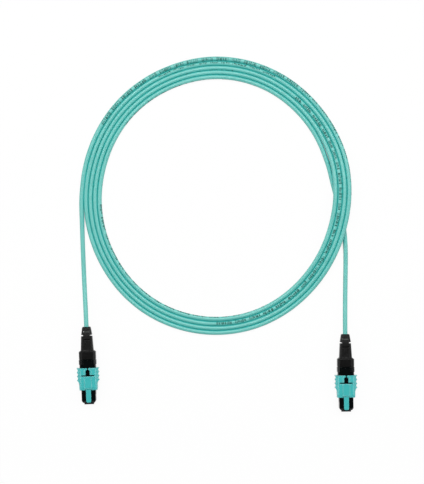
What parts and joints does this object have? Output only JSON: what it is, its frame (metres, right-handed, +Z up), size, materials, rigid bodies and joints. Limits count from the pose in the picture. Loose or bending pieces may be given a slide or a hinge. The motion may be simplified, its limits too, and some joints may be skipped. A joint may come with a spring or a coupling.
{
  "type": "fibre patch cord with mpo connectors",
  "caption": "Multi-fibre patch cord: a coiled round aqua cord with a push-on MPO connector on each end, sprung sleeve, floating ferrule and sliding polarity keys.",
  "frame": {"origin": "on the surface the part lies on, under the middle of connector a", "axes": "+Y runs back along connector a from its nose to its boot, +Z is up, +X is to the right seen from above with the nose towards the viewer; connector b lies at -X"},
  "size_m": [0.1893, 0.2408, 0.0092],
  "materials": {
    "black_moulding": "moulded black thermoplastic",
    "aqua_moulding": "moulded aqua thermoplastic",
    "ferrule_resin": "glass-filled resin, polished end",
    "soft_black": "moulded elastomer",
    "stamped_steel": "stamped stainless",
    "spring_steel": "drawn stainless wire",
    "plated_brass": "nickel-plated brass",
    "aramid": "aramid yarn",
    "fibre_glass": "coated optical fibre",
    "cord_jacket": "extruded aqua jacket"
  },
  "bodies": {
    "root": {"nose_housing_a": "black_moulding", "rear_body_a": "black_moulding", "ferrule_spring_a": "spring_steel", "sleeve_spring_left_a": "spring_steel", "sleeve_spring_right_a": "spring_steel", "aramid_yarn_a": "aramid", "crimp_ring_a": "plated_brass", "strain_relief_boot_a": "soft_black", "fibre_ribbon_a": "fibre_glass", "nose_housing_b": "black_moulding", "rear_body_b": "black_moulding", "ferrule_spring_b": "spring_steel", "sleeve_spring_left_b": "spring_steel", "sleeve_spring_right_b": "spring_steel", "aramid_yarn_b": "aramid", "crimp_ring_b": "plated_brass", "strain_relief_boot_b": "soft_black", "fibre_ribbon_b": "fibre_glass", "cord_coil": "cord_jacket", "cord_from_a": "cord_jacket", "cord_from_b": "cord_jacket"},
    "sleeve_a": {"sleeve_a": "aqua_moulding"},
    "ferrule_group_a": {"ferrule_a": "ferrule_resin", "ferrule_boot_a": "soft_black", "pin_keeper_a": "stamped_steel"},
    "key_top_a": {"polarity_key_top_a": "aqua_moulding"},
    "key_bottom_a": {"polarity_key_bottom_a": "aqua_moulding"},
    "sleeve_b": {"sleeve_b": "aqua_moulding"},
    "ferrule_group_b": {"ferrule_b": "ferrule_resin", "ferrule_boot_b": "soft_black", "pin_keeper_b": "stamped_steel"},
    "key_top_b": {"polarity_key_top_b": "aqua_moulding"},
    "key_bottom_b": {"polarity_key_bottom_b": "aqua_moulding"}
  },
  "joints": [
    {"name": "sleeve_pull_a", "type": "slide", "parent": "root", "child": "sleeve_a", "axis": [0, 1, 0], "range_m": [0, 0.0022], "stiffness_N_per_m": 600, "springref_m": -0.0025, "deforming": ["sleeve_spring_left_a", "sleeve_spring_right_a"]},
    {"name": "ferrule_float_a", "type": "slide", "parent": "root", "child": "ferrule_group_a", "axis": [0, 1, 0], "range_m": [0, 0.001], "stiffness_N_per_m": 4000, "springref_m": -0.0024, "deforming": ["ferrule_spring_a", "fibre_ribbon_a"]},
    {"name": "key_top_slide_a", "type": "slide", "parent": "root", "child": "key_top_a", "axis": [0, 1, 0], "range_m": [0, 0.0085]},
    {"name": "key_bottom_slide_a", "type": "slide", "parent": "root", "child": "key_bottom_a", "axis": [0, 1, 0], "range_m": [-0.0085, 0]},
    {"name": "sleeve_pull_b", "type": "slide", "parent": "root", "child": "sleeve_b", "axis": [-0.0255, 0.9997, 0], "range_m": [0, 0.0022], "stiffness_N_per_m": 600, "springref_m": -0.0025, "deforming": ["sleeve_spring_left_b", "sleeve_spring_right_b"]},
    {"name": "ferrule_float_b", "type": "slide", "parent": "root", "child": "ferrule_group_b", "axis": [-0.0255, 0.9997, 0], "range_m": [0, 0.001], "stiffness_N_per_m": 4000, "springref_m": -0.0024, "deforming": ["ferrule_spring_b", "fibre_ribbon_b"]},
    {"name": "key_top_slide_b", "type": "slide", "parent": "root", "child": "key_top_b", "axis": [-0.0255, 0.9997, 0], "range_m": [0, 0.0085]},
    {"name": "key_bottom_slide_b", "type": "slide", "parent": "root", "child": "key_bottom_b", "axis": [-0.0255, 0.9997, 0], "range_m": [-0.0085, 0]}
  ]
}
